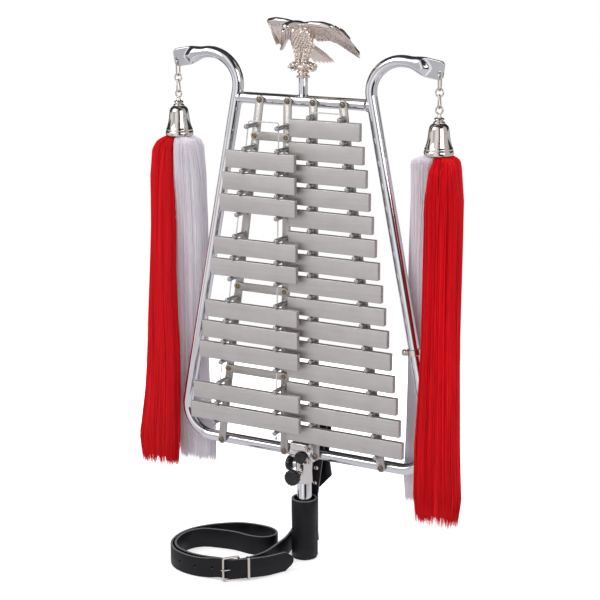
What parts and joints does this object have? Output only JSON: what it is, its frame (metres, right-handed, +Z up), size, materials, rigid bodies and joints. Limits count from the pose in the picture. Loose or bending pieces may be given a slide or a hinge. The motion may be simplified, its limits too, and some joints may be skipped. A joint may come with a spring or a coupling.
{
  "type": "bell lyra",
  "caption": "Marching bell lyra: tuned metal bars on a chromed lyre frame with an eagle finial, hair plumes, a clamped carrying stem and a leather cup with its strap.",
  "frame": {"origin": "centre of the leather cup's flat bottom face", "axes": "+Z up along the stem to the finial, +X to the viewer's right across the bars (towards their plain ends), -Y towards the player's striking side, where the bars face"},
  "size_m": [0.55, 0.2038, 0.8001],
  "materials": {
    "bar_metal": "satin, fine brushed",
    "rail_metal": "dull zinc plate with brass screws",
    "cord": "twisted fibre",
    "chrome": "polished chrome",
    "nickel": "nickel plated casting, slightly speckled",
    "knob_plastic": "moulded black plastic",
    "leather": "dyed black leather with grey cut edges",
    "red_hair": "long dyed hair",
    "white_hair": "long hair"
  },
  "bodies": {
    "carrier": {"leather_cup": "leather", "back_strap": "leather", "strap": "leather", "buckle_frame": "nickel", "strap_keeper": "nickel"},
    "prong": {"buckle_prong": "nickel"},
    "lower_tube": {"lower_tube": "chrome"},
    "stem": {"stem_clamp": "nickel"},
    "height_knob": {"height_knob": "knob_plastic"},
    "clamp_knob": {"clamp_knob": "knob_plastic"},
    "tilt_knob": {"tilt_knob": "knob_plastic"},
    "lyre": {"hoop_frame": "chrome", "clip_collar": "nickel", "eagle_finial": "nickel", "outer_accidental_rail": "rail_metal", "inner_accidental_rail": "rail_metal", "inner_natural_rail": "rail_metal", "outer_natural_rail": "rail_metal", "rail_tie_1": "rail_metal", "rail_tie_2": "rail_metal", "rail_tie_3": "rail_metal", "natural_cord": "cord", "accidental_cord": "cord", "natural_bar_01": "bar_metal", "natural_bar_02": "bar_metal", "natural_bar_03": "bar_metal", "natural_bar_04": "bar_metal", "natural_bar_05": "bar_metal", "natural_bar_06": "bar_metal", "natural_bar_07": "bar_metal", "natural_bar_08": "bar_metal", "natural_bar_09": "bar_metal", "natural_bar_10": "bar_metal", "natural_bar_11": "bar_metal", "natural_bar_12": "bar_metal", "natural_bar_13": "bar_metal", "natural_bar_14": "bar_metal", "natural_bar_15": "bar_metal", "accidental_bar_01": "bar_metal", "accidental_bar_02": "bar_metal", "accidental_bar_03": "bar_metal", "accidental_bar_04": "bar_metal", "accidental_bar_05": "bar_metal", "accidental_bar_06": "bar_metal", "accidental_bar_07": "bar_metal", "accidental_bar_08": "bar_metal", "accidental_bar_09": "bar_metal", "accidental_bar_10": "bar_metal"},
    "hook_left": {"plume_hook_left": "nickel"},
    "ring_left": {"plume_ring_left": "nickel"},
    "link_left": {"plume_link_left": "nickel"},
    "bell_left": {"bell_cap_left": "nickel", "red_hair_left": "red_hair", "white_hair_left": "white_hair"},
    "hook_right": {"plume_hook_right": "nickel"},
    "ring_right": {"plume_ring_right": "nickel"},
    "link_right": {"plume_link_right": "nickel"},
    "bell_right": {"bell_cap_right": "nickel", "red_hair_right": "red_hair", "white_hair_right": "white_hair"}
  },
  "joints": [
    {"name": "prong_hinge", "type": "hinge", "parent": "carrier", "child": "prong", "pos_m": [-0.05644, -0.14159, 0.0192], "axis": [0, 0, -1], "range_deg": [0, 110]},
    {"name": "tube_lift", "type": "slide", "parent": "carrier", "child": "lower_tube", "axis": [0, 0, 1], "range_m": [0, 0.095]},
    {"name": "stem_height", "type": "slide", "parent": "lower_tube", "child": "stem", "axis": [0, 0, 1], "range_m": [0, 0.02]},
    {"name": "height_knob_turn", "type": "hinge", "parent": "stem", "child": "height_knob", "pos_m": [0, -0.037, 0.1365], "axis": [0, -1, 0], "range_deg": [0, 360]},
    {"name": "clamp_knob_turn", "type": "hinge", "parent": "stem", "child": "clamp_knob", "pos_m": [0.004, -0.02, 0.1625], "axis": [0, -1, 0], "range_deg": [0, 360]},
    {"name": "tilt_knob_turn", "type": "hinge", "parent": "stem", "child": "tilt_knob", "pos_m": [-0.024, 0, 0.1445], "axis": [-1, 0, 0], "range_deg": [0, 360]},
    {"name": "lyre_tilt", "type": "hinge", "parent": "stem", "child": "lyre", "pos_m": [0, 0, 0.1659], "axis": [1, 0, 0], "range_deg": [-20, 20]},
    {"name": "hook_left_swing", "type": "hinge", "parent": "lyre", "child": "hook_left", "pos_m": [-0.2085, 0, 0.7342], "axis": [0, 1, 0], "range_deg": [0, 15]},
    {"name": "ring_left_swing", "type": "hinge", "parent": "hook_left", "child": "ring_left", "pos_m": [-0.2085, 0, 0.7105], "axis": [0, 1, 0], "range_deg": [0, 12]},
    {"name": "link_left_swing", "type": "hinge", "parent": "ring_left", "child": "link_left", "pos_m": [-0.2085, 0, 0.7046], "axis": [0, 1, 0], "range_deg": [0, 12]},
    {"name": "bell_left_swing", "type": "hinge", "parent": "link_left", "child": "bell_left", "pos_m": [-0.2085, 0, 0.6865], "axis": [0, 1, 0], "range_deg": [0, 12]},
    {"name": "hook_right_swing", "type": "hinge", "parent": "lyre", "child": "hook_right", "pos_m": [0.2085, 0, 0.7342], "axis": [0, -1, 0], "range_deg": [0, 15]},
    {"name": "ring_right_swing", "type": "hinge", "parent": "hook_right", "child": "ring_right", "pos_m": [0.2085, 0, 0.7105], "axis": [0, -1, 0], "range_deg": [0, 12]},
    {"name": "link_right_swing", "type": "hinge", "parent": "ring_right", "child": "link_right", "pos_m": [0.2085, 0, 0.7046], "axis": [0, -1, 0], "range_deg": [0, 12]},
    {"name": "bell_right_swing", "type": "hinge", "parent": "link_right", "child": "bell_right", "pos_m": [0.2085, 0, 0.6865], "axis": [0, -1, 0], "range_deg": [0, 12]}
  ]
}
